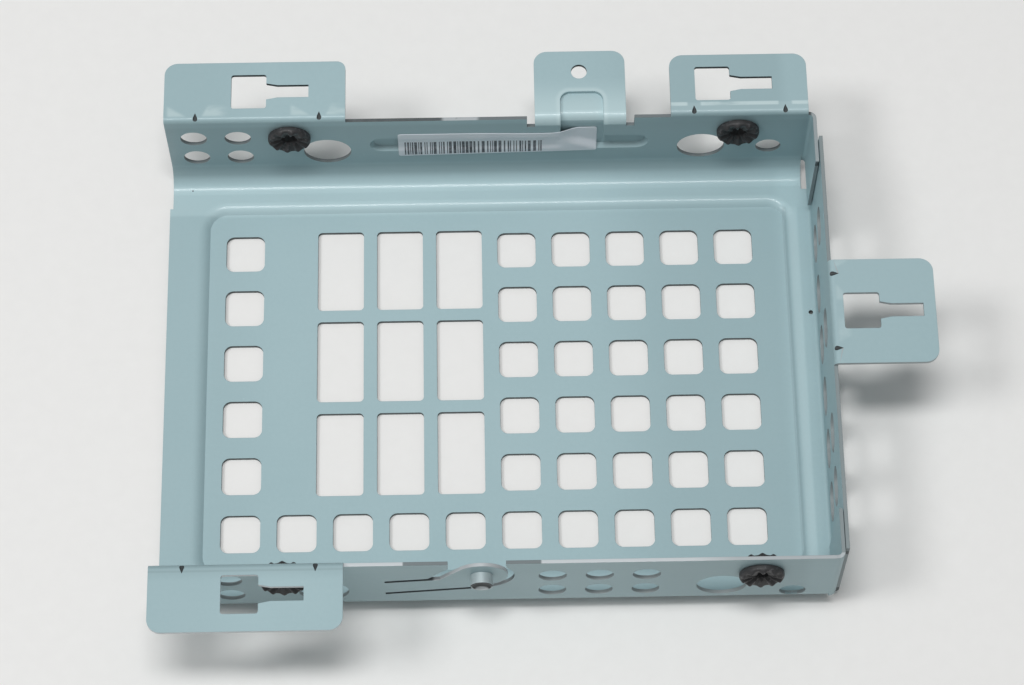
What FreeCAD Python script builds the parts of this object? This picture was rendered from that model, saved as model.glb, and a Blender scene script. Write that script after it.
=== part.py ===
import FreeCAD, Part
import math
import os
import Sketcher
from FreeCAD import Placement, Rotation, Vector

# Mounting bracket for a 3.5 inch drive: one folded sheet-steel tray with four
# keyhole tabs and a screw tab, four rubber grommets, a sprung latch tongue
# with its riveted stud, and a paper label.
# Frame: millimetres, +Z up, origin under the middle of the base on the
# underside of the pressed pan. +X runs to the closed (right) end, +Y to the
# rear wall.

doc = FreeCAD.newDocument("drive_bracket")
sheet = doc.addObject("Spreadsheet::Sheet", "dims")

# alias, value, what it is
ROWS = [
    ("gauge", 0.8, "sheet thickness"),
    ("half_width", 53.0, "centre line to the inner face of front and rear wall"),
    ("wall_bend", 5.2, "inside radius, base to front and rear wall"),
    ("rim_low", 1.1, "underside of the base around the pan"),
    ("walls_left", -73.5, "left end of front and rear wall"),
    ("walls_right", 71.4, "right end of the wall bends"),
    ("rear_top", 26.4, "top of the rear wall"),
    ("front_top", 27.5, "top of the front wall"),
    ("base_left", -74.2, "left edge of the base"),
    ("jog_half", 44.3, "half length of the left edge between its steps"),
    ("side_in", 73.3, "inner face of the right wall"),
    ("side_bend", 0.8, "inside radius, base to right wall"),
    ("side_rear", 47.0, "rear end of the right wall"),
    ("side_front", -51.6, "front end of the right wall"),
    ("side_top", 27.6, "top of the right wall"),
    ("tab_top", 28.8, "upper face of the front and right tab"),
    ("rear_tab_top", 27.7, "upper face of the rear keyhole tabs"),
    ("tab_bend", 0.35, "inside radius of the tab bends"),
    ("tab_root", 22.0, "height where a tab's strip starts in its wall"),
    ("tab_corner", 3.0, "outer corners of the tabs"),
    ("corner_small", 2.0, "inner corners of the rear tabs"),
    # rear left tab
    ("rl_left", -73.5, "rear left tab, left side"),
    ("rl_right", -32.7, "rear left tab, right side"),
    ("rl_out", 67.98, "rear left tab, free edge"),
    # rear right tab
    ("rr_left", 40.45, "rear right tab, left side"),
    ("rr_right", 71.4, "rear right tab, right side"),
    ("rr_out", 68.18, "rear right tab, free edge"),
    # screw tab
    ("st_left", 9.9, "screw tab, left side"),
    ("st_right", 30.5, "screw tab, right side"),
    ("st_top", 25.5, "upper face of the screw tab"),
    ("st_bend", 1.5, "inside radius of the screw tab's bend"),
    ("st_out", 70.87, "screw tab, free edge"),
    ("st_hole_x", 20.1, "screw hole"),
    ("st_hole_y", 65.59, "screw hole"),
    ("st_hole_r", 1.8, "screw hole"),
    ("st_notch", 1.8, "relief notch beside the screw tab"),
    ("st_notch_low", 22.8, "bottom of the relief notches"),
    # front tab
    ("ft_left", -73.5, "front tab, left side"),
    ("ft_right", -32.6, "front tab, right side"),
    ("ft_out", -68.23, "front tab, free edge"),
    # right tab
    ("rt_front", -9.38, "right tab, front side"),
    ("rt_rear", 15.52, "right tab, rear side"),
    ("rt_out", 96.15, "right tab, free edge"),
    # keyholes, all the same and all facing +X
    ("key_w", 7.9, "keyhole window along X"),
    ("key_d", 8.57, "keyhole window along Y"),
    ("key_slot", 9.5, "keyhole slot length"),
    ("key_neck", 3.14, "keyhole slot width"),
    ("key_lead", 2.5, "length of the lead-in"),
    ("key_flare", 0.5, "lead-in, extra each side"),
    ("key_round", 0.6, "keyhole corners"),
    ("key_rl_x", -58.4, "rear left keyhole, left side"),
    ("key_rl_y", 60.48, "rear left keyhole"),
    ("key_rr_x", 46.1, "rear right keyhole, left side"),
    ("key_rr_y", 60.78, "rear right keyhole"),
    ("key_rt_x", 76.1, "right keyhole, left side"),
    ("key_rt_y", 3.17, "right keyhole"),
    ("key_ft_x", -58.2, "front keyhole, left side"),
    ("key_ft_y", -60.03, "front keyhole"),
    # returns that lap inside the right wall
    ("lap_in", 72.35, "inner face of the returns"),
    ("lap_low", 4.9, "bottom of the returns"),
    ("lap_top", 27.6, "top of the front return"),
    ("lap_top_rear", 26.4, "top of the rear return"),
    ("lap_bend", 0.8, "inside radius of the returns"),
    ("lap_rear", 41.2, "free edge of the rear return"),
    ("lap_front", -42.5, "free edge of the front return"),
    ("slit_end", 47.3, "corner relief reaches this far into the base"),
    ("slit_w", 1.0, "corner relief width"),
    # pressed pan
    ("pan_left", -64.88, "pan floor"),
    ("pan_right", 67.2, "pan floor"),
    ("pan_front", -44.9, "pan floor"),
    ("pan_rear", 43.0, "pan floor"),
    ("pan_round", 4.0, "pan floor corners"),
    ("pan_run", 1.18, "plan width of the pan's sloped side"),
    ("pan_deep", 1.1, "depth of the pan"),
    ("pan_roll", 3.9, "roll at the top of the pan's side"),
    # square holes of the base
    ("sq_side", 8.8, "square hole"),
    ("sq_round", 1.8, "square hole corners"),
    ("sq_x", -56.7, "first square hole"),
    ("sq_y", -35.8, "first square hole"),
    ("sq_dx", 12.417, "square hole pitch along X"),
    ("sq_dy", 13.746, "square hole pitch along Y"),
    # long holes of the base
    ("lg_w", 10.5, "long hole along X"),
    ("lg_d", 19.8, "long hole along Y"),
    ("lg_round", 1.0, "long hole corners"),
    ("lg_x", -34.84, "first long hole"),
    ("lg_y", -17.15, "first long hole"),
    ("lg_dx", 13.52, "long hole pitch along X"),
    ("lg_dy", 22.68, "long hole pitch along Y"),
    ("pin_x", 71.9, "small tooling hole"),
    ("pin_y", 15.5, "small tooling hole"),
    ("pin_r", 0.5, "small tooling hole"),
    # holes in the walls
    ("vent_r", 3.0, "small round hole in the walls"),
    ("vent_up", 20.1, "upper row of small holes"),
    ("vent_dn", 11.5, "lower row of small holes"),
    ("vent_rear_up", 19.6, "upper row of small holes, rear wall"),
    ("vent_rear_dn", 10.75, "lower row of small holes, rear wall"),
    ("vent_x", -67.4, "first small hole, left group"),
    ("vent_dx", 10.0, "pitch of the small holes"),
    ("vent_fx", 11.5, "first small hole, front middle group"),
    ("big_r", 5.4, "large round hole"),
    ("big_x", -37.4, "large hole, left"),
    ("big_xr", 47.8, "large hole, right"),
    ("big_z", 12.8, "large holes"),
    ("far_x", 63.3, "last small hole"),
    ("far_z", 12.2, "last small hole, rear"),
    ("far_zf", 8.8, "last small hole, front"),
    ("far_r", 2.85, "last small hole"),
    # right wall holes
    ("ob_w", 9.0, "slotted hole along Y"),
    ("ob_d", 6.5, "slotted hole along Z"),
    ("ob_low", 7.5, "lower row"),
    ("ob_up", 16.5, "upper row"),
    ("ob_y", -33.0, "first slotted hole"),
    ("ob_dy", 12.6, "pitch of the slotted holes"),
    # bead and rib of the rear wall
    ("bead_left", -27.7, "bead groove"),
    ("bead_right", 35.8, "bead groove"),
    ("bead_low", 12.3, "bead groove"),
    ("bead_high", 18.4, "bead groove"),
    ("bead_deep", 1.1, "depth of the bead"),
    ("bead_run", 0.9, "slope of the bead's side"),
    ("rib_left", 15.7, "rib over the screw tab bend"),
    ("rib_right", 25.4, "rib over the screw tab bend"),
    ("rib_end", 60.45, "end of the rib on the tab"),
    ("rib_drop", 0.9, "depth of the rib in the tab"),
    ("rib_deep", 1.0, "depth of the rib in the wall"),
    ("rib_corner", 2.2, "corners at the end of the rib"),
    ("rib_bend", 2.2, "roll where the rib turns down into the bead"),
    # darts pressed in the tab bends
    ("dart_r", 0.95, "dart, radius at its wide end"),
    ("dart_point", 0.02, "dart, radius at its point"),
    ("dart_long", 2.046, "dart, wide end to point"),
    ("dart_in", 0.95, "wide end, from the bend's centre towards the inside"),
    ("dart_up", 1.6, "wide end, above the bend's centre"),
    ("dart_lean", -12.1, "lean of the dart's axis, degrees"),
    ("dart_web", 1.5, "gusset under the bend"),
    ("dart_w", 2.6, "dart width under the bend"),
    ("dart_rl_a", -66.4, "rear left tab"),
    ("dart_rl_b", -38.6, "rear left tab"),
    ("dart_rr_a", 45.7, "rear right tab"),
    ("dart_rr_b", 66.2, "rear right tab"),
    ("dart_ft_a", -66.4, "front tab"),
    ("dart_ft_b", -38.4, "front tab"),
    ("dart_rt_a", 12.17, "right tab"),
    ("dart_rt_b", -5.73, "right tab"),
    # latch tongue
    ("tng_root", -24.3, "root of the tongue and its bending line"),
    ("tng_low", 11.35, "root, lower edge"),
    ("tng_high", 17.15, "root, upper edge"),
    ("tng_slot", 1.0, "slot beside the tongue"),
    ("tng_neck_x", -12.6, "where the upper edge turns up"),
    ("tng_neck_z", 18.5, "where the upper edge turns up"),
    ("tng_dip_x", -6.2, "lower edge near the head"),
    ("tng_dip_z", 13.9, "lower edge near the head"),
    ("head_x", -3.6, "head of the tongue"),
    ("head_z", 20.8, "head of the tongue"),
    ("head_r", 5.6, "head of the tongue"),
    ("bay_r", 7.0, "round window about the head"),
    ("gap_left", -10.7, "notch in the wall's top edge"),
    ("gap_right", 1.6, "notch in the wall's top edge"),
    ("gap_z", 25.0, "foot of the notch"),
    ("gap_x", -15.1, "foot of the sloped edge"),
    ("gap_foot", 19.3, "foot of the sloped edge"),
    ("root_gap", 0.05, "play at the bending line"),
    # stud
    ("stud_r", 2.4, "stud"),
    ("stud_out", 2.5, "stud stands out of the wall"),
    ("stud_shank", 1.8, "riveted shank"),
    ("stud_rivet", 2.7, "rivet head"),
    ("stud_rivet_h", 0.6, "rivet head"),
    ("stud_lip", 0.15, "edge of the stud's end"),
    ("stud_dish", 0.85, "depth of the dish in the stud's end"),
    ("stud_dish_r", 2.0, "rim of the dish in the stud's end"),
    # grommets
    ("gr_x", -45.7, "left grommets"),
    ("gr_pitch", 101.6, "spacing of a drive's side screws used here"),
    ("gr_z", 20.1, "grommets"),
    ("gr_hole", 3.6, "hole in the wall"),
    ("gr_flange", 4.83, "flange radius"),
    ("gr_disc", 1.45, "flange thickness"),
    ("gr_bore", 1.75, "bore radius"),
    ("gr_rib", 0.6, "height of the ribs"),
    ("gr_rib_w", 1.15, "width of the ribs"),
    ("gr_core", 2.2, "inner end of the ribs"),
    ("gr_count", 10, "ribs each side"),
    # label
    ("lab_x", 1.5, "label centre"),
    ("lab_z", 15.9, "label centre"),
    ("lab_w", 45.2, "label"),
    ("lab_d", 9.2, "label"),
    ("lab_t", 0.12, "label"),
    ("lab_tilt", 2.6, "label tilt"),
]

for i, (alias, value, note) in enumerate(ROWS, start=1):
    sheet.set("A%d" % i, note)
    sheet.set("B%d" % i, repr(value))
    sheet.setAlias("B%d" % i, alias)
doc.recompute()


class Dim:
    """A size: its value now, and the expression that ties it to the sheet."""

    def __init__(self, value, text):
        self.value = float(value)
        self.text = text

    @staticmethod
    def of(other):
        return other if isinstance(other, Dim) else Dim(other, repr(float(other)))

    def __add__(self, other):
        other = Dim.of(other)
        return Dim(self.value + other.value, "(%s + %s)" % (self.text, other.text))

    def __radd__(self, other):
        return Dim.of(other) + self

    def __sub__(self, other):
        other = Dim.of(other)
        return Dim(self.value - other.value, "(%s - %s)" % (self.text, other.text))

    def __rsub__(self, other):
        return Dim.of(other) - self

    def __mul__(self, other):
        other = Dim.of(other)
        return Dim(self.value * other.value, "(%s * %s)" % (self.text, other.text))

    def __rmul__(self, other):
        return Dim.of(other) * self

    def __truediv__(self, other):
        other = Dim.of(other)
        return Dim(self.value / other.value, "(%s / %s)" % (self.text, other.text))

    def __neg__(self):
        return Dim(-self.value, "(-1 * %s)" % self.text)


class Sizes:
    pass


D = Sizes()
for alias, value, note in ROWS:
    setattr(D, alias, Dim(value, "dims.%s" % alias))


def bind(obj, path, dim):
    obj.setExpression(path, Dim.of(dim).text)


def origin_part(body, role):
    for item in body.Origin.OriginFeatures:
        if item.Role == role:
            return item
    raise RuntimeError("no " + role)


def new_body(label):
    body = doc.addObject("PartDesign::Body", label)
    body.Label = label
    return body


def sketch(body, name, plane, offset=None):
    sk = body.newObject("Sketcher::SketchObject", name)
    sk.AttachmentSupport = [(origin_part(body, plane), "")]
    sk.MapMode = "FlatFace"
    if offset is not None:
        offset = Dim.of(offset)
        sk.AttachmentOffset = Placement(Vector(0, 0, offset.value), Rotation())
        bind(sk, "AttachmentOffset.Base.z", offset)
    return sk


def fix(sk, geo, pos, x, y):
    """Tie one point of the sketch to the sheet."""
    for kind, dim in (("DistanceX", Dim.of(x)), ("DistanceY", Dim.of(y))):
        n = sk.addConstraint(Sketcher.Constraint(kind, -1, 1, geo, pos, dim.value))
        bind(sk, "Constraints[%d]" % n, dim)


def loop(sk, points):
    """Closed outline of straight edges through the given points."""
    points = [(Dim.of(x), Dim.of(y)) for x, y in points]
    count = len(points)
    ids = []
    for i in range(count):
        a, b = points[i], points[(i + 1) % count]
        ids.append(sk.addGeometry(Part.LineSegment(
            Vector(a[0].value, a[1].value, 0), Vector(b[0].value, b[1].value, 0)), False))
    for i in range(count):
        sk.addConstraint(Sketcher.Constraint("Coincident", ids[i], 2, ids[(i + 1) % count], 1))
    for i in range(count):
        fix(sk, ids[i], 1, points[i][0], points[i][1])


def circle(sk, x, y, r):
    x, y, r = Dim.of(x), Dim.of(y), Dim.of(r)
    g = sk.addGeometry(Part.Circle(Vector(x.value, y.value, 0), Vector(0, 0, 1), r.value), False)
    fix(sk, g, 3, x, y)
    n = sk.addConstraint(Sketcher.Constraint("Radius", g, r.value))
    bind(sk, "Constraints[%d]" % n, r)


def rounded(sk, x0, y0, x1, y1, r):
    """Rectangle with round corners."""
    x0, y0, x1, y1, r = [Dim.of(q) for q in (x0, y0, x1, y1, r)]
    xa, ya, xb, yb, rr = x0.value, y0.value, x1.value, y1.value, r.value
    lines = [((xa + rr, ya), (xb - rr, ya)), ((xb, ya + rr), (xb, yb - rr)),
             ((xb - rr, yb), (xa + rr, yb)), ((xa, yb - rr), (xa, ya + rr))]
    corners = [((xb - rr, ya + rr), -90, 0), ((xb - rr, yb - rr), 0, 90),
               ((xa + rr, yb - rr), 90, 180), ((xa + rr, ya + rr), 180, 270)]
    ids, arcs = [], []
    for (a, b), (c, s, e) in zip(lines, corners):
        ids.append(sk.addGeometry(Part.LineSegment(Vector(a[0], a[1], 0), Vector(b[0], b[1], 0)), False))
        arcs.append(sk.addGeometry(Part.ArcOfCircle(
            Part.Circle(Vector(c[0], c[1], 0), Vector(0, 0, 1), rr),
            math.radians(s), math.radians(e)), False))
    for i in range(4):
        sk.addConstraint(Sketcher.Constraint("Tangent", ids[i], 2, arcs[i], 1))
        sk.addConstraint(Sketcher.Constraint("Tangent", arcs[i], 2, ids[(i + 1) % 4], 1))
    sk.addConstraint(Sketcher.Constraint("Horizontal", ids[0]))
    sk.addConstraint(Sketcher.Constraint("Vertical", ids[1]))
    for i in range(1, 4):
        sk.addConstraint(Sketcher.Constraint("Equal", arcs[0], arcs[i]))
    n = sk.addConstraint(Sketcher.Constraint("Radius", arcs[0], rr))
    bind(sk, "Constraints[%d]" % n, r)
    for kind, geo, dim in (("DistanceY", ids[0], y0), ("DistanceY", ids[2], y1),
                           ("DistanceX", ids[3], x0), ("DistanceX", ids[1], x1)):
        n = sk.addConstraint(Sketcher.Constraint(kind, -1, 1, geo, 1, dim.value))
        bind(sk, "Constraints[%d]" % n, dim)


def obround(sk, x, y, width, height):
    """Slot with round ends, long along the sketch's x."""
    x, y, width, height = [Dim.of(q) for q in (x, y, width, height)]
    rr = height.value / 2
    half = width.value / 2 - rr
    cx, cy = x.value, y.value
    top = sk.addGeometry(Part.LineSegment(Vector(cx + half, cy + rr, 0), Vector(cx - half, cy + rr, 0)), False)
    left = sk.addGeometry(Part.ArcOfCircle(Part.Circle(Vector(cx - half, cy, 0), Vector(0, 0, 1), rr),
                                           math.pi / 2, 3 * math.pi / 2), False)
    bottom = sk.addGeometry(Part.LineSegment(Vector(cx - half, cy - rr, 0), Vector(cx + half, cy - rr, 0)), False)
    right = sk.addGeometry(Part.ArcOfCircle(Part.Circle(Vector(cx + half, cy, 0), Vector(0, 0, 1), rr),
                                            -math.pi / 2, math.pi / 2), False)
    for a, b in ((top, left), (left, bottom), (bottom, right), (right, top)):
        sk.addConstraint(Sketcher.Constraint("Tangent", a, 2, b, 1))
    sk.addConstraint(Sketcher.Constraint("Equal", left, right))
    fix(sk, left, 3, x - (width - height) / 2, y)
    fix(sk, right, 3, x + (width - height) / 2, y)
    n = sk.addConstraint(Sketcher.Constraint("Radius", left, rr))
    bind(sk, "Constraints[%d]" % n, height / 2)


def grew(body, before, sign, name):
    doc.recompute()
    change = body.Shape.Volume - before
    if change * sign <= 0:
        raise RuntimeError("%s changed the volume by %.4f" % (name, change))


def pad(body, sk, name, length, reverse=False):
    before = body.Shape.Volume if not body.Shape.isNull() else 0.0
    feat = body.newObject("PartDesign::Pad", name)
    feat.Profile = sk
    feat.Reversed = reverse
    bind(feat, "Length", length)
    body.Tip = feat
    grew(body, before, 1, name)
    return feat


def pocket(body, sk, name, length, reverse=False):
    before = body.Shape.Volume
    feat = body.newObject("PartDesign::Pocket", name)
    feat.Profile = sk
    feat.Type = "Length"
    feat.Reversed = reverse
    bind(feat, "Length", length)
    body.Tip = feat
    grew(body, before, -1, name)
    return feat


def grid(body, feature, name, axis, pitch, count):
    before = body.Shape.Volume
    feat = body.newObject("PartDesign::LinearPattern", name)
    feat.Originals = [feature]
    feat.Direction = (origin_part(body, axis), [""])
    feat.Mode = "Spacing"
    feat.Occurrences = count
    bind(feat, "Offset", pitch)
    body.Tip = feat
    grew(body, before, -1, name)
    return feat


def round_edges(body, name, radius, test, expected=None):
    """Round every edge of the body whose ends pass the test."""
    doc.recompute()
    base = body.Tip
    names = []
    for i, edge in enumerate(base.Shape.Edges, start=1):
        if len(edge.Vertexes) == 2 and test(edge.Vertexes[0].Point, edge.Vertexes[1].Point):
            names.append("Edge%d" % i)
    if not names or (expected is not None and len(names) != expected):
        raise RuntimeError("%s found %d edges" % (name, len(names)))
    feat = body.newObject("PartDesign::Fillet", name)
    feat.Base = (base, names)
    bind(feat, "Radius", radius)
    body.Tip = feat
    doc.recompute()
    if feat.Shape.isNull() or not feat.Shape.isValid():
        raise RuntimeError(name + " failed")
    return feat


def near(a, b, tol=0.02):
    return abs(a - b) < tol


def loft(body, name, kind, profile, section):
    before = body.Shape.Volume
    feat = body.newObject("PartDesign::" + kind, name)
    feat.Profile = profile
    feat.Sections = [section]
    feat.Ruled = True
    body.Tip = feat
    grew(body, before, 1 if kind == "AdditiveLoft" else -1, name)
    return feat


# ---------------------------------------------------------------- tray
tray = new_body("tray")
out = D.half_width + D.gauge
rim_top = D.rim_low + D.gauge

# base and the front and rear wall as one channel
sk = sketch(tray, "channel_section", "YZ_Plane", D.walls_left)
loop(sk, [(-out, D.front_top), (-out, D.rim_low), (out, D.rim_low), (out, D.rear_top),
          (D.half_width, D.rear_top), (D.half_width, rim_top),
          (-D.half_width, rim_top), (-D.half_width, D.front_top)])
pad(tray, sk, "channel", D.walls_right - D.walls_left)
round_edges(tray, "channel_bend_in", D.wall_bend,
            lambda a, b: near(abs(a.y), D.half_width.value) and near(a.z, rim_top.value)
            and near(a.y, b.y) and near(a.z, b.z), 2)
round_edges(tray, "channel_bend_out", D.wall_bend + D.gauge,
            lambda a, b: near(abs(a.y), out.value) and near(a.z, D.rim_low.value)
            and near(a.y, b.y) and near(a.z, b.z), 2)

# the base stands a little proud of the walls on the open side
sk = sketch(tray, "left_edge", "XY_Plane", D.rim_low)
loop(sk, [(D.base_left, -D.jog_half), (D.walls_left, -D.jog_half),
          (D.walls_left, D.jog_half), (D.base_left, D.jog_half)])
pad(tray, sk, "left_strip", D.gauge)

# right wall with its tight bend
side_out = D.side_in + D.gauge
sk = sketch(tray, "side_section", "XZ_Plane", -D.side_rear)
loop(sk, [(D.walls_right, D.rim_low), (side_out, D.rim_low), (side_out, D.side_top),
          (D.side_in, D.side_top), (D.side_in, rim_top), (D.walls_right, rim_top)])
pad(tray, sk, "side_wall", D.side_rear - D.side_front)
round_edges(tray, "side_bend_in", D.side_bend,
            lambda a, b: near(a.x, D.side_in.value) and near(b.x, D.side_in.value)
            and near(a.z, rim_top.value) and near(b.z, rim_top.value), 1)
round_edges(tray, "side_bend_out", D.side_bend + D.gauge,
            lambda a, b: near(a.x, side_out.value) and near(b.x, side_out.value)
            and near(a.z, D.rim_low.value) and near(b.z, D.rim_low.value), 1)

# returns of the front and rear wall, lapped inside the right wall
lap_out = D.lap_in + D.gauge
for name, sign, free, level in (("rear_return", 1, D.lap_rear, D.lap_top_rear),
                                ("front_return", -1, D.lap_front, D.lap_top)):
    sk = sketch(tray, name + "_plan", "XY_Plane", D.lap_low)
    loop(sk, [(D.walls_right, sign * out), (lap_out, sign * out), (lap_out, free),
              (D.lap_in, free), (D.lap_in, sign * D.half_width), (D.walls_right, sign * D.half_width)])
    pad(tray, sk, name, level - D.lap_low)
round_edges(tray, "return_bend_in", D.lap_bend,
            lambda a, b: near(a.x, D.lap_in.value) and near(b.x, D.lap_in.value)
            and near(abs(a.y), D.half_width.value) and near(a.y, b.y), 2)
round_edges(tray, "return_bend_out", D.lap_bend + D.gauge,
            lambda a, b: near(a.x, lap_out.value) and near(b.x, lap_out.value)
            and near(abs(a.y), out.value) and near(a.y, b.y), 2)

# gap in the rear wall for the screw tab and the relief notches beside it
sk = sketch(tray, "notch_plan", "XZ_Plane", -(D.half_width - 1))
loop(sk, [(D.st_left - D.st_notch, D.st_notch_low), (D.st_right + D.st_notch, D.st_notch_low),
          (D.st_right + D.st_notch, D.rear_top + 0.5), (D.st_left - D.st_notch, D.rear_top + 0.5)])
pocket(tray, sk, "screw_tab_notches", 3.0)

# tabs folded outward at the top of the walls
tab_low = D.tab_top - D.gauge
rear_low = D.rear_tab_top - D.gauge
st_low = D.st_top - D.gauge
for name, left, right, free, level in (("rear_left_tab", D.rl_left, D.rl_right, D.rl_out, D.rear_tab_top),
                                       ("rear_right_tab", D.rr_left, D.rr_right, D.rr_out, D.rear_tab_top),
                                       ("screw_tab", D.st_left, D.st_right, D.st_out, D.st_top)):
    sk = sketch(tray, name + "_section", "YZ_Plane", left)
    loop(sk, [(D.half_width, D.tab_root), (out, D.tab_root), (out, level - D.gauge), (free, level - D.gauge),
              (free, level), (D.half_width, level)])
    pad(tray, sk, name, right - left)
sk = sketch(tray, "front_tab_section", "YZ_Plane", D.ft_left)
loop(sk, [(-D.half_width, D.tab_root), (-D.half_width, D.tab_top), (D.ft_out, D.tab_top),
          (D.ft_out, tab_low), (-out, tab_low), (-out, D.tab_root)])
pad(tray, sk, "front_tab", D.ft_right - D.ft_left)
sk = sketch(tray, "right_tab_section", "XZ_Plane", -D.rt_rear)
loop(sk, [(D.side_in, D.tab_root), (side_out, D.tab_root), (side_out, tab_low), (D.rt_out, tab_low),
          (D.rt_out, D.tab_top), (D.side_in, D.tab_top)])
pad(tray, sk, "right_tab", D.rt_rear - D.rt_front)


def tab_edge(a, b, y, x, z):
    level = near(a.z, z) and near(b.z, z)
    long_y = near(abs(a.y), y) and near(a.y, b.y)
    long_x = near(a.x, x) and near(b.x, x)
    return level and (long_y or long_x)


round_edges(tray, "tab_bend_out", D.tab_bend + D.gauge,
            lambda a, b: tab_edge(a, b, D.half_width.value, D.side_in.value, D.tab_top.value)
            or tab_edge(a, b, D.half_width.value, D.side_in.value, D.rear_tab_top.value), 4)
round_edges(tray, "tab_bend_in", D.tab_bend,
            lambda a, b: tab_edge(a, b, out.value, side_out.value, tab_low.value)
            or tab_edge(a, b, out.value, side_out.value, rear_low.value), 4)
round_edges(tray, "screw_bend_out", D.st_bend + D.gauge,
            lambda a, b: near(a.z, D.st_top.value) and near(b.z, D.st_top.value)
            and near(a.y, D.half_width.value) and near(b.y, D.half_width.value), 1)
round_edges(tray, "screw_bend_in", D.st_bend,
            lambda a, b: near(a.z, st_low.value) and near(b.z, st_low.value)
            and near(a.y, out.value) and near(b.y, out.value), 1)


def upright(a, b, places):
    return near(a.x, b.x) and near(a.y, b.y) and a.z > 24 and b.z > 24 and any(
        near(a.x, x) and near(a.y, y) for x, y in places)


BIG = [(D.rl_left.value, D.rl_out.value), (D.rr_right.value, D.rr_out.value),
       (D.ft_left.value, D.ft_out.value), (D.ft_right.value, D.ft_out.value),
       (D.rt_out.value, D.rt_front.value), (D.rt_out.value, D.rt_rear.value),
       (D.st_left.value, D.st_out.value), (D.st_right.value, D.st_out.value),
       (D.rr_left.value, D.rr_out.value)]
SMALL = [(D.rl_right.value, D.rl_out.value)]
round_edges(tray, "tab_corners", D.tab_corner, lambda a, b: upright(a, b, BIG), len(BIG))
round_edges(tray, "tab_corners_small", D.corner_small, lambda a, b: upright(a, b, SMALL), len(SMALL))

# pan pressed down in the base: outer form added, inner form taken away
deep_low = rim_top - D.pan_deep - D.gauge
skin = D.gauge * 0.39
for name, kind, grow, z_low, z_high in (
        ("pan_outer", "AdditiveLoft", skin, deep_low, D.rim_low + 0.3),
        ("pan_inner", "SubtractiveLoft", Dim.of(0), deep_low + D.gauge, rim_top + 0.3)):
    steep = D.pan_run / D.pan_deep
    spread = steep * (z_high - z_low)
    low = sketch(tray, name + "_floor", "XY_Plane", z_low)
    rounded(low, D.pan_left - grow, D.pan_front - grow, D.pan_right + grow, D.pan_rear + grow,
            D.pan_round + grow)
    high = sketch(tray, name + "_mouth", "XY_Plane", z_high)
    rounded(high, D.pan_left - grow - spread, D.pan_front - grow - spread,
            D.pan_right + grow + spread, D.pan_rear + grow + spread,
            D.pan_round + grow + spread)
    loft(tray, name, kind, low, high)


def pan_edge(a, b, z, grow):
    reach = grow + D.pan_run.value * (z - (deep_low + D.gauge).value) / D.pan_deep.value
    inside = all(D.pan_left.value - reach - 0.05 <= p.x <= D.pan_right.value + reach + 0.05
                 and D.pan_front.value - reach - 0.05 <= p.y <= D.pan_rear.value + reach + 0.05
                 for p in (a, b))
    return inside and near(a.z, z) and near(b.z, z)


round_edges(tray, "pan_roll_top", D.pan_roll,
            lambda a, b: pan_edge(a, b, rim_top.value, 0.0), 8)
round_edges(tray, "pan_roll_low", D.gauge,
            lambda a, b: pan_edge(a, b, deep_low.value, 5.0), 8)

# bead groove in the rear wall, pressed outward
mid_x = (D.bead_left + D.bead_right) / 2
mid_z = (D.bead_low + D.bead_high) / 2
span_x = D.bead_right - D.bead_left
span_z = D.bead_high - D.bead_low
for name, kind, grow, y_in, y_out in (
        ("bead_outer", "AdditiveLoft", D.gauge * 0.5, out - 0.3, out + D.bead_deep),
        ("bead_inner", "SubtractiveLoft", Dim.of(0), D.half_width - 0.3, D.half_width + D.bead_deep)):
    ease = D.bead_run / D.bead_deep
    near_side = sketch(tray, name + "_wide", "XZ_Plane", -y_in)
    obround(near_side, mid_x, mid_z, span_x + 2 * grow + 0.6 * ease, span_z + 2 * grow + 0.6 * ease)
    far_side = sketch(tray, name + "_narrow", "XZ_Plane", -y_out)
    obround(far_side, mid_x, mid_z, span_x + 2 * grow - 2 * D.bead_run, span_z + 2 * grow - 2 * D.bead_run)
    loft(tray, name, kind, near_side, far_side)

# rib from the bead up over the screw tab's bend
groove_y = D.half_width + D.rib_deep
floor_z = D.st_top - D.rib_drop
sk = sketch(tray, "rib_back", "YZ_Plane", D.rib_left - D.gauge * 0.75)
loop(sk, [(out - 0.4, mid_z), (groove_y + D.gauge, mid_z), (groove_y + D.gauge, floor_z - D.gauge - 1),
          (groove_y + D.gauge + 1, floor_z - D.gauge), (D.rib_end + 0.1, floor_z - D.gauge),
          (D.rib_end + 0.9, st_low + 0.3), (out + D.st_bend, st_low + 0.3),
          (out + 0.16, st_low - 0.16), (out - 0.4, st_low - D.st_bend)])
pad(tray, sk, "rib_outer", D.rib_right - D.rib_left + D.gauge * 1.5)
sk = sketch(tray, "rib_top", "XY_Plane", D.st_top + 1)
rounded(sk, D.rib_left, D.half_width - 3, D.rib_right, D.rib_end, D.rib_corner)
pocket(tray, sk, "rib_in_tab", D.rib_drop + 1)
sk = sketch(tray, "rib_front", "YZ_Plane", D.rib_left)
loop(sk, [(D.half_width - 1, mid_z), (groove_y, mid_z), (groove_y, floor_z), (D.half_width - 1, floor_z)])
pocket(tray, sk, "rib_in_wall", D.rib_right - D.rib_left, reverse=True)
round_edges(tray, "rib_roll", D.rib_bend,
            lambda a, b: near(a.y, groove_y.value) and near(b.y, groove_y.value)
            and near(a.z, floor_z.value) and near(b.z, floor_z.value), 1)

# darts pressed in the bends of the keyhole tabs
c_y = out + D.tab_bend
c_x = side_out + D.tab_bend
low_z = tab_low - D.tab_bend
rear_z = rear_low - D.tab_bend


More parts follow.
